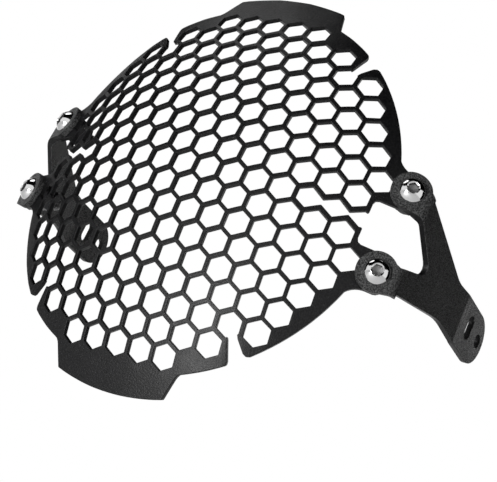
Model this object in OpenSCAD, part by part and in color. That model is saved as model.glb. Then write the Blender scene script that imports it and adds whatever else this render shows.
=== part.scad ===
// Motorcycle headlight guard: a pressed honeycomb grille on two bent sheet brackets.
// X runs across the bike, -Y points forwards and Z points up.
// The origin lies midway between the round holes of the two tabs.

/* [Honeycomb] */
// Distance between the centres of neighbouring holes
pitch = 11; // [9:0.1:13]
// Width of the web between two holes
web = 1.6; // [1:0.1:2.6]
// Thickness of the grille's sheet
sheet = 2; // [1.2:0.1:3]
// Radius of the round blank, measured along the sheet
disc_r = 86.5; // [80:0.5:95]
// Least distance from a hole's centre to the edge of the blank
rim = 6.5; // [5.5:0.1:8]

/* [Dome] */
// Radius of the dome from top to bottom
dome_r = 223; // [180:1:320]
// Radius of the dome across its middle
middle_r = 210; // [170:1:320]
// Radius of the bend into each side leaf
bend_r = 105; // [80:1:200]
// Distance along the sheet from the middle to the start of that bend
bend_from = 30; // [20:0.5:40]
// Distance along the sheet from the middle to the flat side leaf
bend_to = 66.4; // [55:0.2:72]
// How much wider the rows are spread at the sides than in the middle
spread = 0.042; // [0:0.002:0.08]

/* [Slots] */
// Extra metal left on each hole that borders a slot
slot_rim = 1.1; // [0.5:0.1:2]
// How far pressing has closed each side slot at its mouth
slot_close = 1.5; // [0:0.1:2]
// Pitches from the middle to the first open hole of a side slot
side_slot_at = 5; // [4:1:5]

/* [Top and bottom plates] */
// Radius of the outer edge of a plate, measured along the sheet
plate_r = 95.5; // [92:0.5:104]
// Width of a plate at its outer edge
plate_tip_w = 49; // [40:0.5:60]
// Width of a plate where it leaves the round blank
plate_root_w = 59; // [50:0.5:70]
// Radius of the corners of the plates and of the leaves beside them
corner_r = 2; // [1:0.1:3]
// Radius of the hollow corner between a plate and the round blank
root_r = 6; // [3:0.5:10]

/* [Lugs] */
// Distance along the sheet from the middle to the screws
screw_s = 89.4; // [88:0.1:94]
// Height of each screw above or below the middle
screw_z = 17.4; // [16:0.1:22]
// Width of a lug
lug_w = 15.5; // [14:0.5:17]
// Distance from a screw's axis to the end of its lug
lug_end = 5.5; // [5:0.1:6.5]
// Radius of the corners at the end of a lug
lug_corner_r = 4; // [2:0.5:6]
// Radius of the hollow corner between a lug and the leaf
shoulder_r = 9; // [6:0.5:12]
// Distance along the sheet from the middle to the edge between the lugs
notch_s = 78.3; // [76:0.1:82]

/* [Screws] */
// Diameter of the screws
screw_d = 6; // [5:0.5:6]
// Diameter of the screw holes
hole_d = 6.6; // [6.3:0.1:7]
// Length of a screw under its head
screw_l = 16; // [14:1:25]
// Diameter of a screw's head
head_d = 10.5; // [9:0.5:12]
// Height of a screw's head
head_h = 3.3; // [2.5:0.1:4]
// Width across flats of the socket
socket_af = 4; // [3:0.5:5]
// Diameter of a washer
washer_d = 12; // [11:0.5:13]
// Thickness of a washer
washer_t = 1.6; // [1:0.1:2]
// Width across flats of a nut
nut_af = 10; // [9.5:0.5:11]
// Height of a nut
nut_h = 6; // [5.5:0.1:7]

/* [Brackets] */
// Thickness of a bracket's sheet
bracket_t = 2.5; // [2:0.1:3]
// Radius of the round end of a pad
pad_r = 8.1; // [7.8:0.1:9]
// Inside radius of the bends
bend_in = 2; // [1.5:0.1:3]
// Distance from a screw's axis to the bend behind its pad
pad_l = 6.3; // [6.3:0.1:8]
// Lean of the arms away from straight back, in degrees
arm_lean = 8.7; // [7:0.1:12]
// Length of the arms between their two bends
arm_l = 46.2; // [38:0.1:52]
// How far back the tabs reach
tab_end_y = 103; // [98:0.5:112]
// Height of a tab
tab_h = 21; // [19:0.5:24]
// Height of the middle of the tabs
tab_z = -8; // [-12:0.5:-4]
// Depth of the fork between a bracket's two legs, from the bend behind the pads
fork_l = 18.7; // [12:0.1:22]
// Width of the upper leg where it leaves its pad
upper_leg_w = 10.1; // [8:0.1:12]
// Width of the lower leg where it leaves its pad
lower_leg_w = 10; // [8:0.1:12]

/* [Tab holes] */
// Diameter of the round hole and width of the slot
bolt_d = 5.5; // [4.5:0.1:6.5]
// Distance from the end of the tab to the round hole
bolt_back = 6.3; // [6:0.1:8]
// Distance between the round hole and the slot
bolt_step = 12.2; // [11.5:0.1:14]
// Length of the slot
slot_l = 10; // [8:0.5:12]
// Height of the round hole above the middle of the tab
bolt_up = 0.6; // [0:0.1:1.5]

/* [Hidden] */
$fn = 120;

LEFT = -1;
RIGHT = 1;
UPPER = 1;
LOWER = -1;
BLACK = "#1c1c1c";
STEEL = "#c8c8c8";
ZINC = "#a8a8a0";
NYLON = "#d8dce0";

row_h = pitch * sqrt(3) / 2;
rows = floor(disc_r / row_h);
columns = floor(disc_r / pitch) + 1;
hole_af = pitch - web;
// Pieces that turn on one another keep this much room all round
running = 0.05;
// Length of the cutters, enough to pass through the sheet wherever they start
cut = 8 * sheet;
// How far the sheet runs past its outline before it is trimmed
spare = 6 * sheet;
// Flat steps that make up the middle and one bend of the dome, seen from above
middle_steps = 2;
bend_steps = 5;

// Form of the dome, seen from above
middle_angle = bend_from / middle_r * 180 / PI;
leaf_angle = middle_angle + (bend_to - bend_from) / bend_r * 180 / PI;
bend_x = middle_r * sin(middle_angle);
bend_y = middle_r * (1 - cos(middle_angle));
bend_centre = [bend_x - bend_r * sin(middle_angle), bend_y + bend_r * cos(middle_angle)];
leaf_x = bend_centre[0] + bend_r * sin(leaf_angle);
leaf_y = bend_centre[1] - bend_r * cos(leaf_angle);

// Slope, place across and depth of the sheet at a distance s along it from the middle
function slope_at(s) =
  s < bend_from ? s / middle_r * 180 / PI :
  s < bend_to ? middle_angle + (s - bend_from) / bend_r * 180 / PI :
  leaf_angle;
function x_at(s) =
  s < bend_from ? middle_r * sin(slope_at(s)) :
  s < bend_to ? bend_centre[0] + bend_r * sin(slope_at(s)) :
  leaf_x + (s - bend_to) * cos(leaf_angle);
function y_at(s) =
  s < bend_from ? middle_r * (1 - cos(slope_at(s))) :
  s < bend_to ? bend_centre[1] - bend_r * cos(slope_at(s)) :
  leaf_y + (s - bend_to) * sin(leaf_angle);

// Real height of a row for each millimetre of its height in the flat sheet
function squeeze(s) = (1 + spread * pow(s / disc_r, 2)) * (dome_r - y_at(s)) / dome_r;

// How far a point beside a side slot has moved towards the slot
function closing(s, u) =
  slot_close * max(0, s / pitch - side_slot_at + 1) / 3 * max(0, 1 - abs(u) / (5 * pitch)) * sign(u);

// Turn about the dome's axis that lifts a point of the flat sheet to its row
function swing_at(s, u) =
  (u - closing(s, u)) * (1 + spread * pow(s / disc_r, 2)) / dome_r * 180 / PI;

// Turn about the dome's axis to a screw
screw_swing = asin(screw_z / (dome_r - y_at(screw_s)));

// Corners of a hexagon that stands on a corner, squeezed in height
function hexagon(af, squeezed) =
  [for (i = [0:5]) af / sqrt(3) * [cos(30 + 60 * i), sin(30 + 60 * i) * squeezed]];

// Points of a polygon whose corners [x, y, radius] are rounded
function rounded(corners) = [
  for (i = [0:len(corners) - 1])
    each round_corner(
      corners[(i + len(corners) - 1) % len(corners)],
      corners[i],
      corners[(i + 1) % len(corners)]
    )
];
function flat(p) = [p[0], p[1]];
function round_corner(before, at, after) =
  at[2] == 0 ? [flat(at)] :
  let (
    a = flat(before - at) / norm(flat(before - at)),
    b = flat(after - at) / norm(flat(after - at)),
    half = acos(a * b) / 2,
    centre = flat(at) + (a + b) / norm(a + b) * at[2] / sin(half),
    from = flat(at) + a * at[2] / tan(half) - centre,
    to = flat(at) + b * at[2] / tan(half) - centre,
    steps = max(2, round(norm(to - from) / 1.2))
  )
  [for (i = [0:steps])
    let (p = from * sin((90 - half) * 2 * (1 - i / steps)) + to * sin((90 - half) * 2 * i / steps))
    centre + p / norm(p) * at[2]];

// Puts its children on the sheet, with Z out of the front face
module on_swing(s, swing) {
  side = s < 0 ? LEFT : RIGHT;
  translate([0, dome_r, 0])
    rotate([-swing, 0, 0])
      translate([side * x_at(abs(s)), y_at(abs(s)) - dome_r, 0])
        rotate([0, 0, side * slope_at(abs(s))])
          rotate([90, 0, 0])
            children();
}

module on_sheet(s, u) {
  on_swing(s, swing_at(abs(s), u)) children();
}

module at_screw(side, level) {
  on_swing(side * screw_s, level * screw_swing) children();
}

module through(points) {
  linear_extrude(cut, center = true) polygon(points);
}

// Round hole of a tab, which is the origin of the finished guard
bolt_y = tab_end_y - bolt_back;
bolt_z = tab_z + bolt_up;
// The slot lies this much higher than the round hole
slot_up = 0.4;

module mounted() {
  translate([0, -bolt_y, -bolt_z]) children();
}

// Outline of a strip of metal, seen from above, along stations [x, y, heading]
function strip(stations, t) = concat(
  [for (p = stations) flat(p) + t / 2 * [sin(p[2]), -cos(p[2])]],
  [for (i = [len(stations) - 1:-1:0])
    let (p = stations[i])
    flat(p) - t / 2 * [sin(p[2]), -cos(p[2])]]
);

// Stations round a bend that turns to the left
function bend(centre, r, from, to, steps) =
  [for (i = [0:steps]) let (a = from + (to - from) * i / steps) [
    centre[0] + r * sin(a),
    centre[1] - r * cos(a),
    a
  ]];

// Turns a strip drawn from above about the dome's axis
module turned(half_turn) {
  translate([0, dome_r, 0])
    rotate([0, 90, 0])
      rotate([0, 0, -90 - half_turn])
        rotate_extrude(angle = 2 * half_turn, $fn = 360)
          translate([dome_r, 0])
            rotate(90)
              children();
}

module grille_strip() {
  end = screw_s + lug_end + spare;
  half = [
    for (s = concat(
      [for (i = [0.5:middle_steps - 0.5]) bend_from * i / middle_steps],
      [for (i = [0:bend_steps]) bend_from + (bend_to - bend_from) * i / bend_steps],
      [end]
    )) [x_at(s), y_at(s), slope_at(s)]
  ];
  other = [for (i = [len(half) - 1:-1:0]) [-half[i][0], half[i][1], -half[i][2]]];
  polygon(strip(concat(other, half), sheet));
}

// Cone from the dome's centre that trims the sheet square to its face
module trim(edge_r) {
  half_angle = edge_r / dome_r * 180 / PI;
  near = dome_r * 0.75;
  far = dome_r + spare;
  translate([0, dome_r - near, 0])
    rotate([90, 0, 0])
      cylinder(h = far - near, r1 = near * tan(half_angle), r2 = far * tan(half_angle));
}

// Solid plate above or below the honeycomb
module end_plate(level) {
  middle = (disc_r + plate_r) / 2;
  tip = plate_r - middle;
  foot = plate_root_w / 5;
  intersection() {
    trim(plate_r);
    on_sheet(0, level * middle)
      rotate(level > 0 ? 0 : 180)
        through(rounded([
          for (side = [LEFT, RIGHT])
            each in_order(side, [
              [side * (plate_root_w / 2 + foot / 2), edge_at(plate_root_w / 2 + foot) - foot - middle, 0],
              [side * (plate_root_w / 2 + foot), edge_at(plate_root_w / 2 + foot) - middle, 0],
              [side * plate_root_w / 2, edge_at(plate_root_w / 2) - middle, root_r],
              [side * plate_tip_w / 2, tip - corner_r / 5, corner_r],
              [side * (plate_tip_w / 2 - 2 * corner_r), tip + corner_r, 0]
            ])
        ]));
  }
}

// Height of the round blank's edge at a distance across from the middle
function edge_at(across) = sqrt(pow(disc_r, 2) - pow(across, 2));

function in_order(side, points) =
  side < 0 ? points : [for (i = [len(points) - 1:-1:0]) points[i]];

// Two lugs that carry one bracket
module lugs(side) {
  top = screw_z + lug_w / 2;
  bottom = screw_z - lug_w / 2;
  shoulder = sqrt(pow(disc_r, 2) - pow(top, 2));
  end = screw_s + lug_end;
  for (level = [UPPER, LOWER])
    on_sheet(side * screw_s, 0)
      mirror([side < 0 ? 1 : 0, 0])
        mirror([0, level < 0 ? 1 : 0])
          translate([-screw_s, 0])
            through(rounded([
              [shoulder - lug_w, bottom, 0],
              [end, bottom, lug_corner_r],
              [end, top, lug_corner_r],
              [shoulder, top, shoulder_r],
              [disc_r * cos(30), disc_r * sin(30), 0],
              [disc_r * cos(30) - lug_w / 2, disc_r * sin(30), 0]
            ]));
}

// The end slots open from this hole: its row, and its place along the row in pitches
end_slot_row = 6;
end_slot_n = 4;

// Whether a hole belongs to one of the six slots
function in_slot(n, row) =
  (row == 0 && abs(n) >= side_slot_at) || (abs(row) == end_slot_row && abs(n) == end_slot_n);

function is_hole(n, row) =
  norm([n * pitch, row * row_h]) < disc_r - rim && !in_slot(n, row);

module holes() {
  for (row = [-rows:rows], i = [-columns:columns])
    let (n = i + (row % 2 == 0 ? 0 : 0.5))
    if (is_hole(n, row))
      on_sheet(n * pitch, row * row_h)
        through(hexagon(hole_af, squeeze(abs(n * pitch))));
}

// Corners along one edge of a side slot, as [holes from its middle, height]
module side_slot(side) {
  middle = side_slot_at + 1;
  corner = pitch / (2 * sqrt(3)) - slot_rim * 2 / sqrt(3);
  crest = pitch / sqrt(3) - slot_rim * 2 / sqrt(3);
  start = corner + slot_rim / sqrt(3);
  edge = [
    [-1.5 + slot_rim / pitch, start],
    [-1, crest],
    [-0.5, corner],
    [0, crest],
    [0.5, corner],
    [1, crest],
    [1.5, corner]
  ];
  points = [
    for (e = edge)
      let (s = (middle + e[0]) * pitch)
      [e[0] * pitch, (e[1] - closing(s, e[1])) * squeeze(s)]
  ];
  on_sheet(side * middle * pitch, 0)
    mirror([side < 0 ? 1 : 0, 0])
      through(concat(points, [for (i = [len(points) - 1:-1:0]) [points[i][0], -points[i][1]]]));
  notch_h = screw_z - lug_w / 2;
  notch_l = screw_s + lug_end + spare - notch_s;
  on_sheet(side * notch_s, 0)
    mirror([side < 0 ? 1 : 0, 0])
      through(rounded([
        [0, notch_h, corner_r],
        [0, -notch_h, corner_r],
        [notch_l, -notch_h, 0],
        [notch_l, notch_h, 0]
      ]));
}

// Direction from the middle to the corner of the leaf on either side of an end slot, in degrees
leaf_corner_up = 56.4;
leaf_corner_out = 51.8;

// Slot between the top or bottom leaf and a side leaf
module end_slot(side, level) {
  s = side * end_slot_n * pitch;
  on_sheet(s, level * end_slot_row * row_h)
    mirror([side < 0 ? 1 : 0, 0])
      mirror([0, level < 0 ? 1 : 0]) {
        through(hexagon(pitch - 2 * slot_rim, squeeze(abs(s))));
        through(rounded([
          pitch * [0, 0.3, 0],
          pitch * [0.1, 0.5, 0],
          [each leaf_corner(leaf_corner_up, 0), corner_r],
          [each leaf_corner(leaf_corner_up, 1.2 * pitch), 0],
          [each leaf_corner(leaf_corner_out, -2.4 * pitch) + pitch * [0, 2], 0],
          [each leaf_corner(leaf_corner_out, -1.2 * pitch), 0],
          [each leaf_corner(leaf_corner_out, 0), corner_r],
          [each pitch * [0.43, 0.4], corner_r / 2],
          pitch * [0.3, 0.1, 0]
        ]));
      }
}

// Corner of a leaf, moved along the edge of the blank, as seen from the end slot's hole
function leaf_corner(angle, along) =
  (disc_r - 0.2) * [cos(angle), sin(angle)]
  + along * [-sin(angle), cos(angle)]
  - [end_slot_n * pitch, end_slot_row * row_h];

module grille() {
  color(BLACK)
    difference() {
      intersection() {
        turned(atan((plate_r + spare) / dome_r)) grille_strip();
        union() {
          trim(disc_r);
          end_plate(UPPER);
          end_plate(LOWER);
          lugs(LEFT);
          lugs(RIGHT);
        }
      }
      holes();
      for (side = [LEFT, RIGHT]) {
        side_slot(side);
        for (level = [UPPER, LOWER]) {
          end_slot(side, level);
          at_screw(side, level)
            cylinder(d = hole_d, h = cut, center = true);
        }
      }
    }
}

// Path of the right bracket's sheet, seen from above, at the middle of its thickness
pad_offset = (sheet + bracket_t) / 2;
fold_r = bend_in + bracket_t / 2;
pad_start = screw_s - pad_r - 2;
pad_from = [
  x_at(pad_start) + pad_offset * sin(leaf_angle),
  y_at(pad_start) - pad_offset * cos(leaf_angle)
];
pad_len = screw_s + pad_l - pad_start;
fold_1 = pad_from + pad_len * [cos(leaf_angle), sin(leaf_angle)];
fold_1_centre = fold_1 + fold_r * [-sin(leaf_angle), cos(leaf_angle)];
arm_heading = 90 - arm_lean;
arm_from = fold_1_centre + fold_r * [sin(arm_heading), -cos(arm_heading)];
fold_2 = arm_from + arm_l * [cos(arm_heading), sin(arm_heading)];
fold_2_centre = fold_2 + fold_r * [-sin(arm_heading), cos(arm_heading)];
tab_from = fold_2_centre + fold_r * [1, 0];
tab_x = tab_from[0];

module bracket_strip() {
  polygon(strip(concat(
    [[pad_from[0], pad_from[1], leaf_angle]],
    bend(fold_1_centre, fold_r, leaf_angle, arm_heading, 6),
    bend(fold_2_centre, fold_r, arm_heading, 90, 2),
    [[tab_x, tab_end_y + spare, 90]]
  ), bracket_t));
}

// Heights at which the two legs leave their pads
leg_y = fold_1[1];
upper_leg_z = screw_z + 1.9;
lower_leg_z = -screw_z - 5.7;

// Outline of the forked arm and the tab, seen from the side
module arm_outline() {
  top = tab_z + tab_h / 2;
  bottom = tab_z - tab_h / 2;
  start = leg_y - 1;
  // Corners [y, z, radius] between the fork and the tab
  crotch = [leg_y + fork_l, tab_z + 1.4, 3.5];
  shoulder = [tab_from[1] - 10, top, 14];
  waist = [tab_from[1] - 13, tab_z - 8, 25];
  hip = [tab_from[1] + 2, bottom, 10];
  rotate([90, 0, 90])
    linear_extrude(tab_x + spare)
      polygon(rounded([
        [start, upper_leg_z, 0],
        shoulder,
        [tab_end_y, top, tab_h / 2 - 0.2],
        [tab_end_y, bottom, tab_h / 2 - 0.2],
        hip,
        waist,
        [start, lower_leg_z, 0],
        [start, lower_leg_z + lower_leg_w, 0],
        crotch,
        [start, upper_leg_z - upper_leg_w, 0]
      ]));
}

// Pad and neck at one screw, before the sheet is folded back
module pad_outline(level) {
  neck = pad_l + 3.5;
  shift = level > 0 ? upper_leg_z - screw_z - upper_leg_w / 2 : screw_z + lower_leg_z + lower_leg_w / 2;
  leg_w = level > 0 ? upper_leg_w : lower_leg_w;
  at_screw(RIGHT, level) {
    translate([0, 0, -cut / 2])
      cylinder(r = pad_r, h = cut);
    through([
      [0, pad_r - 0.1],
      [neck, shift + leg_w / 2 - 0.5],
      [neck, shift - leg_w / 2 - 0.5],
      [0, -pad_r + 0.1]
    ]);
  }
}

module bracket() {
  color(BLACK)
    difference() {
      intersection() {
        turned(asin(1.5 * tab_h / (dome_r - tab_end_y))) bracket_strip();
        union() {
          arm_outline();
          pad_outline(UPPER);
          pad_outline(LOWER);
        }
      }
      for (level = [UPPER, LOWER])
        at_screw(RIGHT, level)
          cylinder(d = hole_d, h = cut, center = true);
      translate([tab_x, bolt_y, bolt_z])
        rotate([0, 90, 0])
          cylinder(d = bolt_d, h = cut, center = true);
      translate([tab_x, bolt_y - bolt_step, bolt_z + slot_up]) {
        for (end = [-1, 1])
          translate([0, 0, end * (slot_l - bolt_d) / 2])
            rotate([0, 90, 0])
              cylinder(d = bolt_d, h = cut, center = true);
        cube([cut, bolt_d, slot_l - bolt_d], center = true);
      }
    }
}

// Levels of the stack at a screw, measured from the middle of the grille's sheet
head_seat = sheet / 2 + bracket_t;
lug_r = dome_r - y_at(screw_s);
// A flat washer on the hollow back of a lug bears on its rim
hollow = pow(washer_d / 2, 2) / (2 * lug_r);
washer_seat = -sheet / 2 - hollow;
nut_seat = washer_seat - washer_t;
ring_h = nut_h * 0.2;
ring_d = nut_af * 0.82;
collar_d = nut_af * 0.95;
hex_h = nut_h * 0.74;
lip = nut_h * 0.05;

module screw(side, level) {
  socket_depth = head_h * 0.6;
  crown_r = (pow(head_d / 2, 2) + pow(head_h, 2)) / (2 * head_h);
  color(STEEL)
    at_screw(side, level)
      translate([0, 0, head_seat])
        difference() {
          union() {
            intersection() {
              cylinder(d = head_d, h = head_h * 0.94);
              translate([0, 0, head_h - crown_r + 0.25])
                sphere(crown_r);
            }
            translate([0, 0, -screw_l])
              cylinder(d = screw_d, h = screw_l + 0.1);
          }
          translate([0, 0, head_h - socket_depth])
            cylinder(d = socket_af * 2 / sqrt(3), h = head_h, $fn = 6);
        }
}

module washer(side, level) {
  color(ZINC)
    at_screw(side, level)
      translate([0, 0, washer_seat - washer_t])
        difference() {
          cylinder(d = washer_d, h = washer_t);
          translate([0, 0, -1])
            cylinder(d = screw_d + 0.4, h = washer_t + 2);
        }
}

module nut(side, level) {
  color(ZINC)
    at_screw(side, level)
      translate([0, 0, nut_seat])
        mirror([0, 0, 1])
          difference() {
            union() {
              cylinder(d = nut_af * 2 / sqrt(3), h = hex_h, $fn = 6);
              cylinder(d = collar_d, h = nut_h);
            }
            translate([0, 0, -1])
              cylinder(d = screw_d + 2 * running, h = nut_h + 2);
            translate([0, 0, nut_h - lip - ring_h])
              cylinder(d = ring_d, h = ring_h);
            translate([0, 0, nut_h - lip - 0.1])
              cylinder(d = ring_d - 1, h = lip + 1);
          }
}

module nut_ring(side, level) {
  color(NYLON)
    at_screw(side, level)
      translate([0, 0, nut_seat])
        mirror([0, 0, 1])
          translate([0, 0, nut_h - lip - ring_h])
            difference() {
              cylinder(d = ring_d - 2 * running, h = ring_h);
              translate([0, 0, -1])
                cylinder(d = screw_d + 2 * running, h = ring_h + 2);
            }
}

mounted() grille();
mounted() mirror([1, 0, 0]) bracket();  // bracket_left
mounted() bracket();  // bracket_right
mounted() screw(LEFT, UPPER);  // screw_upper_left
mounted() screw(RIGHT, UPPER);  // screw_upper_right
mounted() screw(LEFT, LOWER);  // screw_lower_left
mounted() screw(RIGHT, LOWER);  // screw_lower_right
mounted() washer(LEFT, UPPER);  // washer_upper_left
mounted() washer(RIGHT, UPPER);  // washer_upper_right
mounted() washer(LEFT, LOWER);  // washer_lower_left
mounted() washer(RIGHT, LOWER);  // washer_lower_right
mounted() nut(LEFT, UPPER);  // nut_upper_left
mounted() nut(RIGHT, UPPER);  // nut_upper_right
mounted() nut(LEFT, LOWER);  // nut_lower_left
mounted() nut(RIGHT, LOWER);  // nut_lower_right
mounted() nut_ring(LEFT, UPPER);  // nut_ring_upper_left
mounted() nut_ring(RIGHT, UPPER);  // nut_ring_upper_right
mounted() nut_ring(LEFT, LOWER);  // nut_ring_lower_left
mounted() nut_ring(RIGHT, LOWER);  // nut_ring_lower_right
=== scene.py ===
# %% [markdown]
# A motorcycle headlight guard is a thin sheet of metal with a honeycomb of holes, pressed into
# a dome and screwed to two bent brackets. The scene starts with the measured model: every CAD
# piece arrives as a mesh in metres, already in its place. Those pieces fix where all else goes.

# %% Load the measured model
import math

import bpy
from mathutils import Matrix, Vector
from mathutils.bvhtree import BVHTree


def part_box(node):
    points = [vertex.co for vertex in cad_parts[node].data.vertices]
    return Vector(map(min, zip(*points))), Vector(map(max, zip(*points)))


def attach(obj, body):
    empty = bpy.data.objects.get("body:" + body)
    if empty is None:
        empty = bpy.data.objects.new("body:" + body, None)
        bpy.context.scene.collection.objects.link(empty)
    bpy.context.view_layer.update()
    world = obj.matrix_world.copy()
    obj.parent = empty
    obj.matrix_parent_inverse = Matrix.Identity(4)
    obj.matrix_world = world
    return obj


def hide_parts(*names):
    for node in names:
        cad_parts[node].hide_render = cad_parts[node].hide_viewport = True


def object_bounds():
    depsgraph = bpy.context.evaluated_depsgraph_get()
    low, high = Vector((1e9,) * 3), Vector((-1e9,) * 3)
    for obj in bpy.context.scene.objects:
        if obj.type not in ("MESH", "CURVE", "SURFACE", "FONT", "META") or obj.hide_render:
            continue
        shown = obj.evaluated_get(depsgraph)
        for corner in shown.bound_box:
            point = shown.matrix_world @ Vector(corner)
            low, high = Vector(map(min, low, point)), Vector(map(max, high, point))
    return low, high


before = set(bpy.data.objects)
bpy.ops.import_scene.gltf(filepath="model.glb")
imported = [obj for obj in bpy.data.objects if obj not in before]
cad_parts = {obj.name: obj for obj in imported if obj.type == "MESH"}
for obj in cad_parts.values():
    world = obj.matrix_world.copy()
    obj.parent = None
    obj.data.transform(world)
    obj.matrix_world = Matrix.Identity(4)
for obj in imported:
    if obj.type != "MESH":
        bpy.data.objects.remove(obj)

cad_low, cad_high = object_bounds()
MM = 0.001
scene = bpy.context.scene
bpy.ops.object.select_all(action="DESELECT")
print("CAD pieces:", len(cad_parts), "box in mm:", [round((b - a) / MM, 1) for a, b in zip(cad_low, cad_high)])

# %% [markdown]
# The photograph was taken from below and to one side, with a long lens. A camera is a place, a
# direction and a focal length. Here the direction is written as two unit vectors, forward and up,
# because the camera is also rolled, and two vectors say that more plainly than three angles.

# %% Camera
CAMERA_AT = Vector((0.3210, -0.5112, -0.1853))
CAMERA_FORWARD = Vector((-0.5278, 0.7883, 0.3162)).normalized()
CAMERA_UP = Vector((-0.1962, -0.4754, 0.8576))
CAMERA_LENS = 102.58

camera_right = CAMERA_FORWARD.cross(CAMERA_UP).normalized()
camera_up = camera_right.cross(CAMERA_FORWARD)
camera_data = bpy.data.cameras.new("camera")
camera_data.lens = CAMERA_LENS
camera_data.sensor_width = 36
camera_data.clip_start = 0.01
camera = bpy.data.objects.new("camera", camera_data)
scene.collection.objects.link(camera)
camera.matrix_world = Matrix((
    (camera_right.x, camera_up.x, -CAMERA_FORWARD.x, CAMERA_AT.x),
    (camera_right.y, camera_up.y, -CAMERA_FORWARD.y, CAMERA_AT.y),
    (camera_right.z, camera_up.z, -CAMERA_FORWARD.z, CAMERA_AT.z),
    (0, 0, 0, 1),
))
scene.camera = camera
print("camera distance in mm:", round(CAMERA_AT.length / MM))

# %% [markdown]
# Powder coat is a plastic powder that is baked on. It runs into a skin with a fine orange-peel
# grain, and its gloss is low and a little uneven. The grille wears a smooth satin black, and the
# brackets a rougher black with grey specks. One noise gives the specks and the grain, a second
# one makes the gloss cloudy, and both are read from object coordinates, so the grain has the same
# size on every piece and doesn't stretch where the sheet bends.

# %% Helpers for materials
def new_material(name):
    material = bpy.data.materials.new(name)
    material.use_nodes = True
    nodes = material.node_tree.nodes
    return material, nodes, material.node_tree.links, nodes["Principled BSDF"]


def object_noise(nodes, links, scale, detail, roughness=0.5):
    place = nodes.new("ShaderNodeTexCoord")
    noise = nodes.new("ShaderNodeTexNoise")
    noise.inputs["Scale"].default_value = scale
    noise.inputs["Detail"].default_value = detail
    noise.inputs["Roughness"].default_value = roughness
    links.new(place.outputs["Object"], noise.inputs["Vector"])
    return noise.outputs["Fac"]


def spread(nodes, links, value, low, high, to_low, to_high):
    remap = nodes.new("ShaderNodeMapRange")
    for name, number in (("From Min", low), ("From Max", high), ("To Min", to_low), ("To Max", to_high)):
        remap.inputs[name].default_value = number
    links.new(value, remap.inputs["Value"])
    return remap.outputs["Result"]


def mix_colours(nodes, links, value, dark, light):
    ramp = nodes.new("ShaderNodeValToRGB")
    ramp.color_ramp.elements[0].color = (*dark, 1)
    ramp.color_ramp.elements[1].color = (*light, 1)
    links.new(value, ramp.inputs["Fac"])
    return ramp.outputs["Color"]


def add_bump(nodes, links, shader, height, distance, strength):
    bump = nodes.new("ShaderNodeBump")
    bump.inputs["Distance"].default_value = distance
    bump.inputs["Strength"].default_value = strength
    links.new(height, bump.inputs["Height"])
    links.new(bump.outputs["Normal"], shader.inputs["Normal"])

# %% Two black powder coats
def make_powder_coat(name, grain_scale, dark, light, rough_low, rough_high, gloss, grain_height):
    material, nodes, links, shader = new_material(name)
    grain = object_noise(nodes, links, grain_scale, 3)
    cloud = object_noise(nodes, links, 60, 4, 0.6)
    speckle = spread(nodes, links, grain, 0.40, 0.62, 0, 1)
    links.new(mix_colours(nodes, links, speckle, dark, light), shader.inputs["Base Color"])
    links.new(spread(nodes, links, cloud, 0.3, 0.7, rough_low, rough_high), shader.inputs["Roughness"])
    shader.inputs["Specular IOR Level"].default_value = gloss
    add_bump(nodes, links, shader, grain, grain_height, 0.5)
    return material


# The satin coat is the grille's own black. On the brackets' cut edges it also serves as painted shade.
satin_coat_and_edge_shade = make_powder_coat(
    "satin_powder_coat_and_edge_shade", 1500, (0.004, 0.004, 0.0045), (0.012, 0.012, 0.0125), 0.34, 0.44, 0.2, 0.0002,
)
rough_coat = make_powder_coat(
    "rough_powder_coat", 1900, (0.024, 0.024, 0.024), (0.135, 0.136, 0.136), 0.36, 0.46, 0.10, 0.0006,
)
print("made", satin_coat_and_edge_shade.name, "and", rough_coat.name)

# %% [markdown]
# The screws are polished stainless steel, the nuts and washers have a black zinc plate and the
# locking rings are natural nylon. Metal gets its look from what it reflects, so the colour is
# plain and the work goes into the roughness: faint polishing marks on steel, a cloudy zinc. The
# socket of a screw is pressed and its thread rolled. Neither is polished, so both get a rougher
# steel. Its colour is also far darker than steel: painted shade for the socket's core and the shank behind the
# guard.

# %% Steel, zinc and nylon
def make_metal(name, colour, rough_low, rough_high, grain_scale, grain_height):
    material, nodes, links, shader = new_material(name)
    shader.inputs["Metallic"].default_value = 1
    cloud = object_noise(nodes, links, grain_scale / 8, 3)
    tint = mix_colours(nodes, links, cloud, [c * 0.9 for c in colour], colour)
    links.new(tint, shader.inputs["Base Color"])
    links.new(spread(nodes, links, cloud, 0.3, 0.7, rough_low, rough_high), shader.inputs["Roughness"])
    grain = object_noise(nodes, links, grain_scale, 2)
    add_bump(nodes, links, shader, grain, grain_height, 0.3)
    return material


def make_nylon():
    material, nodes, links, shader = new_material("natural_nylon")
    cloud = object_noise(nodes, links, 900, 2)
    tint = mix_colours(nodes, links, cloud, (0.50, 0.53, 0.56), (0.62, 0.65, 0.68))
    links.new(tint, shader.inputs["Base Color"])
    shader.inputs["Roughness"].default_value = 0.5
    add_bump(nodes, links, shader, cloud, 0.00005, 0.3)
    return material


bright_steel = make_metal("bright_stainless_steel", (0.74, 0.74, 0.74), 0.05, 0.10, 2500, 0.00002)
# Painted shade: this steel is far darker than steel, for the shade in the sockets and on the shanks behind the
# guard.
dull_steel_painted_shade = make_metal("unpolished_steel_painted_shade", (0.20, 0.20, 0.20), 0.38, 0.50, 2000, 0.00006)
black_zinc = make_metal("black_zinc_plate", (0.055, 0.055, 0.058), 0.34, 0.46, 1600, 0.00008)
nylon = make_nylon()
print("made", bright_steel.name, dull_steel_painted_shade.name, black_zinc.name, nylon.name)

# %% Dress the CAD pieces
FINISHES = {
    "grille": satin_coat_and_edge_shade,
    "bracket": rough_coat,
    "screw": bright_steel,
    "washer": black_zinc,
    "nut_ring": nylon,
    "nut": black_zinc,
}


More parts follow.
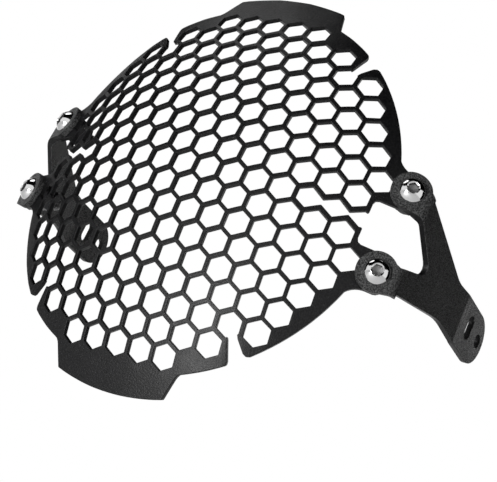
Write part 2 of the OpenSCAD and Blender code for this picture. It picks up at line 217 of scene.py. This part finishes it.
def finish_for(node):
    for start, material in FINISHES.items():
        if node.startswith(start):
            return material


for node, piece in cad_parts.items():
    piece.data.materials.clear()
    piece.data.materials.append(finish_for(node))
print("dressed", len(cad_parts), "pieces")

# %% [markdown]
# The grille and the brackets are cut from sheet by laser, and powder coat pulls back from a sharp
# edge, so every cut edge on the real guard is a little round. That round edge catches a thin line
# of light along each web of the honeycomb, and it is what makes sheet metal look like metal.
#
# A measured mesh has perfectly sharp edges and a triangle wherever it needed one. A copy of it is
# welded, cleared of triangles that lie flat against each other, and then given a small bevel on
# every edge that turns by more than forty degrees. The copy takes the place of the CAD piece.
# Where two cuts meet in a sliver, a bevel can throw a corner out of the sheet. A corner that has
# left the measured surface is therefore put back on it, and edges of no length are dissolved.
#
# A laser beam can't leave a sharp corner in plan either. On the grille the outer corners of the
# webs are therefore rounded first. Those are the edges that run through the sheet, between two
# walls that lie square to the dome, and that stand out and not in. A corner beside a very narrow
# wall is left alone, because two roundings would fold over each other there.
#
# Powder lies thinner on a cut edge than on a broad side and shows less grain there. On a bracket
# the cut edges are the faces that hardly look to the left or right, so those wear the smooth coat. That coat is far
# darker than the bracket's own, so the dark cut edges are painted shade.

# %% Helpers for mesh work
def only(piece):
    bpy.ops.object.select_all(action="DESELECT")
    piece.select_set(True)
    bpy.context.view_layer.objects.active = piece


def apply_modifier(piece, kind, **settings):
    only(piece)
    modifier = piece.modifiers.new(kind.lower(), kind)
    for name, value in settings.items():
        setattr(modifier, name, value)
    bpy.ops.object.modifier_apply(modifier=modifier.name)


def finish_piece(piece, node, material):
    piece.data.materials.clear()
    piece.data.materials.append(material)
    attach(piece, "root")
    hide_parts(node)


# Gives the picked faces a second, far darker material. Both uses below are painted shade: the brackets' cut edges
# and the screws' sockets and shanks.
def second_finish_as_painted_shade(piece, material, gets_painted_shade):
    piece.data.materials.append(material)
    for face in piece.data.polygons:
        if gets_painted_shade(face):
            face.material_index = 1

# %% Sheet pieces with softened edges
WELD = 2e-6
FLAT_ANGLE = math.radians(0.3)
EDGE_ROUND = 0.25 * MM
EDGE_ANGLE = math.radians(40)
STRAY = 0.15 * MM
DOME_MIDDLE = Vector((0, 0.1263, 0.0074))


def clean_copy(node):
    piece = bpy.data.objects.new(node + "_sheet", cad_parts[node].data.copy())
    scene.collection.objects.link(piece)
    only(piece)
    bpy.ops.object.mode_set(mode="EDIT")
    bpy.ops.mesh.select_all(action="SELECT")
    bpy.ops.mesh.remove_doubles(threshold=WELD)
    bpy.ops.mesh.dissolve_limited(angle_limit=FLAT_ANGLE)
    bpy.ops.object.mode_set(mode="OBJECT")
    return piece


def put_back_strays(piece, node):
    cad_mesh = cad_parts[node].data
    surface = BVHTree.FromPolygons([v.co for v in cad_mesh.vertices], [f.vertices for f in cad_mesh.polygons])
    strays = 0
    for vertex in piece.data.vertices:
        nearest, normal, _, distance = surface.find_nearest(vertex.co)
        if distance > STRAY and (vertex.co - nearest).dot(normal) > 0:
            vertex.co = nearest
            strays += 1
    only(piece)
    bpy.ops.object.mode_set(mode="EDIT")
    bpy.ops.mesh.select_all(action="SELECT")
    bpy.ops.mesh.dissolve_degenerate(threshold=WELD)
    bpy.ops.object.mode_set(mode="OBJECT")
    return strays


def soften(piece, node):
    apply_modifier(
        piece, "BEVEL", width=EDGE_ROUND, segments=2, limit_method="ANGLE",
        angle_limit=EDGE_ANGLE, use_clamp_overlap=False,
    )
    print(node, "strays put back:", put_back_strays(piece, node))
    bpy.ops.object.shade_smooth_by_angle(angle=EDGE_ANGLE)
    apply_modifier(piece, "WEIGHTED_NORMAL", keep_sharp=True, weight=100)
    return piece


def round_cut_corners(piece, least_turn, most_turn, setback, least_wall):
    only(piece)
    bpy.ops.object.mode_set(mode="EDIT")
    bpy.ops.mesh.select_mode(type="EDGE")
    bpy.ops.mesh.select_all(action="DESELECT")
    bpy.ops.object.mode_set(mode="OBJECT")
    mesh = piece.data
    sides = {}
    for face in mesh.polygons:
        for key in face.edge_keys:
            sides.setdefault(key, []).append(face)
    picked = 0
    for edge in mesh.edges:
        pair = sides[edge.key]
        outwards = (mesh.vertices[edge.vertices[0]].co - DOME_MIDDLE).normalized()
        if len(pair) != 2 or any(abs(face.normal.dot(outwards)) > 0.3 for face in pair):
            continue
        first, second = pair
        stands_out = first.normal.dot(second.center - first.center) < 0
        height = (mesh.vertices[edge.vertices[0]].co - mesh.vertices[edge.vertices[1]].co).length
        wide = min(first.area, second.area) / height > least_wall
        if stands_out and wide and least_turn < math.degrees(first.normal.angle(second.normal)) < most_turn:
            edge.select = True
            picked += 1
    bpy.ops.object.mode_set(mode="EDIT")
    bpy.ops.mesh.bevel(offset=setback, segments=4, affect="EDGES", clamp_overlap=False)
    bpy.ops.mesh.select_mode(type="VERT")
    bpy.ops.object.mode_set(mode="OBJECT")
    return picked


TEETH = (100, 180, 1.4 * MM, 0)
CORNERS_IN_PLAN = (40, 100, 0.3 * MM, 0.8 * MM)
CUT_EDGE_SIDEWAYS = 0.3

for node in ("grille", "bracket_left", "bracket_right"):
    sheet_piece = clean_copy(node)
    if node == "grille":
        print("rounded", round_cut_corners(sheet_piece, *TEETH), "teeth")
        print("rounded", round_cut_corners(sheet_piece, *CORNERS_IN_PLAN), "corners")
    soften(sheet_piece, node)
    finish_piece(sheet_piece, node, finish_for(node))
    if node != "grille":
        # Painted shade: the bracket's cut edges, picked by which way they face, get the far darker satin coat.
        second_finish_as_painted_shade(sheet_piece, satin_coat_and_edge_shade, lambda face: abs(face.normal.x) < CUT_EDGE_SIDEWAYS)
    print(sheet_piece.name, len(sheet_piece.data.polygons), "faces")

# %% [markdown]
# A button-head screw is turned on a lathe, and then its hexagon socket is pressed in. The same
# order works here. A disc of forty-eight corners lies at the tip, and it is extruded upwards ring
# by ring, each ring scaled to the radius that the lathe would leave: shank, underside, crown and
# the bore of the socket. The rings of the socket are then pushed onto a hexagon. The thread is a
# helix, so each corner of the shank is moved in by its height and its turn. The screw is made
# once, in millimetres on the Z axis, and copied to its four seats.

# %% Measures of an M6 button-head screw
SIDES = 48
HEAD_R = 5.25
CROWN_R = 5.83
CROWN_DROP = 2.28
MOUTH_R = 2.6
MOUTH_DEPTH = 0.4
SOCKET_AF = 4.0
SOCKET_DEPTH = 1.98
CHAMFER = 0.15
SHANK_R = 3.0
SHANK_L = 16.0
THREAD_PITCH = 1.0
THREAD_DEPTH = 0.5
TIP_CHAMFER = 0.8
PLAIN_L = 1.0
RINGS_A_TURN = 6
CROWN_RINGS = 10
SOCKET_R = SOCKET_AF / math.sqrt(3)


def crown_z(radius):
    return math.sqrt(CROWN_R ** 2 - radius ** 2) - CROWN_DROP


def screw_rings():
    threaded = round((SHANK_L - PLAIN_L) / THREAD_PITCH * RINGS_A_TURN)
    shank = [(SHANK_R, -SHANK_L + i * THREAD_PITCH / RINGS_A_TURN) for i in range(threaded)]
    crown = [HEAD_R + (MOUTH_R - HEAD_R) * i / CROWN_RINGS for i in range(CROWN_RINGS + 1)]
    mouth_z = crown_z(MOUTH_R)
    floor_z = mouth_z - SOCKET_DEPTH
    return (
        shank + [(SHANK_R, 0), (HEAD_R - CHAMFER, 0), (HEAD_R, CHAMFER)]
        + [(radius, crown_z(radius)) for radius in crown]
        + [(SOCKET_R, mouth_z - MOUTH_DEPTH), (SOCKET_R, floor_z), (SOCKET_R * 0.1, floor_z - 0.5)]
    )

# %% Turn the screw ring by ring
def turn_on_lathe(rings):
    first_r, first_z = rings[0]
    bpy.ops.object.select_all(action="DESELECT")
    bpy.ops.mesh.primitive_circle_add(vertices=SIDES, radius=first_r, fill_type="NGON", location=(0, 0, first_z))
    turned = bpy.context.object
    bpy.ops.object.transform_apply(location=True, rotation=False, scale=False)
    bpy.ops.object.mode_set(mode="EDIT")
    bpy.ops.mesh.select_all(action="SELECT")
    for (radius, z), (next_r, next_z) in zip(rings, rings[1:]):
        bpy.ops.mesh.extrude_region_move(TRANSFORM_OT_translate={"value": (0, 0, next_z - z)})
        grow = next_r / radius
        bpy.ops.transform.resize(value=(grow, grow, 1), center_override=(0, 0, next_z))
    bpy.ops.mesh.select_all(action="SELECT")
    bpy.ops.mesh.normals_make_consistent(inside=False)
    bpy.ops.object.mode_set(mode="OBJECT")
    return turned


screw_pattern = turn_on_lathe(screw_rings())
screw_pattern.name = "screw_pattern"
print("turned", len(screw_pattern.data.polygons), "faces")

# %% Cut the thread and press the socket
def thread_r(x, y, z):
    turn = math.atan2(y, x) / (2 * math.pi)
    wave = abs(2 * ((z / THREAD_PITCH - turn) % 1) - 1)
    fade = min(1, max(0, -z - PLAIN_L))
    cut = SHANK_R - THREAD_DEPTH * fade * min(1, 1.2 * wave)
    return min(cut, SHANK_R - TIP_CHAMFER + z + SHANK_L)


def hexagon_share(x, y):
    off_flat = math.radians((math.degrees(math.atan2(y, x)) % 60) - 30)
    return math.cos(math.radians(30)) / math.cos(off_flat)


for vertex in screw_pattern.data.vertices:
    x, y, z = vertex.co
    radius = math.hypot(x, y)
    share = 1
    if z < -0.01:
        share = thread_r(x, y, z) / radius
    elif radius < SOCKET_R + 0.01 and z > 0:
        share = hexagon_share(x, y)
    vertex.co = (x * share * MM, y * share * MM, z * MM)
# These faces get the darker steel: painted shade in the socket and along the shank.
dull_shaded_faces = {
    face.index for face in screw_pattern.data.polygons
    if face.center.z < 0 or all(
        screw_pattern.data.vertices[i].co.xy.length < (SOCKET_R + 0.01) * MM for i in face.vertices)
}
print("faces of the shank and the socket:", len(dull_shaded_faces))

# %% [markdown]
# Each screw's axis is read from the measured model. A washer and a locking ring look the same from
# both sides, so the middle of the box round each one is a point on the axis, and the line through
# the two points outwards. The tip of the measured screw says how far along that axis the new
# one goes: its head sits one shank length further out.

# %% Copy the screw to its four seats
CORNERS = ("upper_left", "upper_right", "lower_left", "lower_right")
SOCKET_TURNS = {"upper_left": 10, "upper_right": 38, "lower_left": 25, "lower_right": 3}


def box_middle(node):
    lowest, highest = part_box(node)
    return (lowest + highest) / 2


for corner in CORNERS:
    inner = box_middle("nut_ring_" + corner)
    axis = (box_middle("washer_" + corner) - inner).normalized()
    tip = min((v.co - inner).dot(axis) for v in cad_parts["screw_" + corner].data.vertices)
    seat = inner + axis * (tip + SHANK_L * MM)
    across = Vector((0, 0, 1)).cross(axis).normalized()
    place = Matrix.Translation(seat) @ Matrix((across, axis.cross(across), axis)).transposed().to_4x4()
    turned_screw = bpy.data.objects.new("button_screw_" + corner, screw_pattern.data.copy())
    scene.collection.objects.link(turned_screw)
    turned_screw.data.transform(place @ Matrix.Rotation(math.radians(SOCKET_TURNS[corner]), 4, "Z"))
    only(turned_screw)
    bpy.ops.object.shade_smooth_by_angle(angle=math.radians(35))
    finish_piece(turned_screw, "screw_" + corner, bright_steel)
    second_finish_as_painted_shade(turned_screw, dull_steel_painted_shade, lambda face: face.index in dull_shaded_faces)
bpy.data.objects.remove(screw_pattern)
print("screws on", len(CORNERS), "seats")

# %% [markdown]
# Nuts and washers are stamped and turned, so their edges are a little round too. The same softening
# that served the sheet serves them. The locking rings are left as measured: they hide in the nuts.

# %% Nuts and washers with softened edges
for corner in CORNERS:
    for kind in ("nut_", "washer_"):
        node = kind + corner
        finish_piece(soften(clean_copy(node), node), node, black_zinc)
print("softened the nuts and washers")

# %% [markdown]
# The floor lies well below the guard, because the camera looks up from under it. The world is
# white to the camera, and to mirrors and glass, and dim to everything else, so that the white
# backdrop doesn't light the guard by itself.

# %% Floor and backdrop
FLOOR_DROP = 0.52
FLOOR_SIZE = 6
FLOOR_PALENESS = 0.55
WORLD_LIGHT = 0.06

bpy.ops.object.select_all(action="DESELECT")
bpy.ops.mesh.primitive_plane_add(size=FLOOR_SIZE, location=(0, 0, cad_low[2] - FLOOR_DROP))
floor = bpy.context.object
floor.name = "floor"


def seen_rays(nodes, links):
    path = nodes.new("ShaderNodeLightPath")
    total = path.outputs["Is Camera Ray"]
    for ray in ("Is Glossy Ray", "Is Transmission Ray"):
        either = nodes.new("ShaderNodeMath")
        either.operation = "MAXIMUM"
        links.new(total, either.inputs[0])
        links.new(path.outputs[ray], either.inputs[1])
        total = either.outputs[0]
    return total


floor_material, floor_nodes, floor_links, floor_shader = new_material("pale_floor")
floor_shader.inputs["Base Color"].default_value = (0.86, 0.86, 0.86, 1)
floor_shader.inputs["Roughness"].default_value = 0.9
floor_shader.inputs["Emission Color"].default_value = (1, 1, 1, 1)
paleness = spread(floor_nodes, floor_links, seen_rays(floor_nodes, floor_links), 0, 1, 0, FLOOR_PALENESS)
floor_links.new(paleness, floor_shader.inputs["Emission Strength"])
floor.data.materials.append(floor_material)


def white_to_rays(nodes, links, others_strength):
    choose = nodes.new("ShaderNodeMixShader")
    links.new(seen_rays(nodes, links), choose.inputs["Fac"])
    for slot, strength in ((1, others_strength), (2, 1)):
        light = nodes.new("ShaderNodeBackground")
        light.inputs["Color"].default_value = (1, 1, 1, 1)
        light.inputs["Strength"].default_value = strength
        links.new(light.outputs[0], choose.inputs[slot])
    return choose.outputs[0]


world = bpy.data.worlds.new("studio")
scene.world = world
world.use_nodes = True
world_nodes, world_links = world.node_tree.nodes, world.node_tree.links
world_links.new(white_to_rays(world_nodes, world_links, WORLD_LIGHT), world_nodes["World Output"].inputs["Surface"])
print("floor at", round(floor.location.z, 3), "m, world light", WORLD_LIGHT)

# %% [markdown]
# Black metal in a white room looks grey, and a polished screw looks like white plastic, because
# both mirror the room. Studios hang black cloths round the object for that. Three dark cards do
# the same here, above it, behind it on the right and to its left. Only mirrors see them, so they
# throw no shadow and stay out of the picture. The main lamp hangs low in front and lights the
# pads and the lower middle. A weak one high on the left draws the top plate, and a small one
# behind grazes the near tab, so the arms between them stay dark.

# %% Dark cards and lamps
def aim(piece, place):
    piece.location = place
    piece.rotation_euler = (-Vector(place)).to_track_quat("-Z", "Y").to_euler()


def dark_card(name, place, size):
    bpy.ops.object.select_all(action="DESELECT")
    bpy.ops.mesh.primitive_plane_add(size=size)
    card = bpy.context.object
    card.name = name
    aim(card, place)
    card.data.materials.append(card_cloth)
    card.visible_camera = False
    card.visible_diffuse = False
    card.visible_transmission = False
    card.visible_shadow = False


def soft_lamp(name, place, size, power):
    data = bpy.data.lights.new(name, "AREA")
    data.shape = "DISK"
    data.size = size
    data.energy = power
    lamp = bpy.data.objects.new(name, data)
    scene.collection.objects.link(lamp)
    aim(lamp, place)


card_cloth, card_nodes, card_links, card_shader = new_material("black_cloth")
card_shader.inputs["Base Color"].default_value = (0.004, 0.004, 0.004, 1)
card_shader.inputs["Roughness"].default_value = 1
card_shader.inputs["Specular IOR Level"].default_value = 0
dark_card("card_above", (0, -0.1, 0.55), 1.75)
dark_card("card_right", (0.68, 0.58, 0.18), 0.75)
dark_card("card_left", (-0.85, -0.22, 0.20), 0.7)

soft_lamp("low_front_lamp", (-0.16, -1.22, -0.42), 0.36, 11)
soft_lamp("top_left_lamp", (-0.30, -0.21, 0.44), 0.26, 0.33)
soft_lamp("rear_lamp", (0.24, 1.12, 0.36), 0.3, 0.42)
print("cards and lamps hang round the guard")

# %% Colour management and the end
scene.view_settings.view_transform = "Standard"
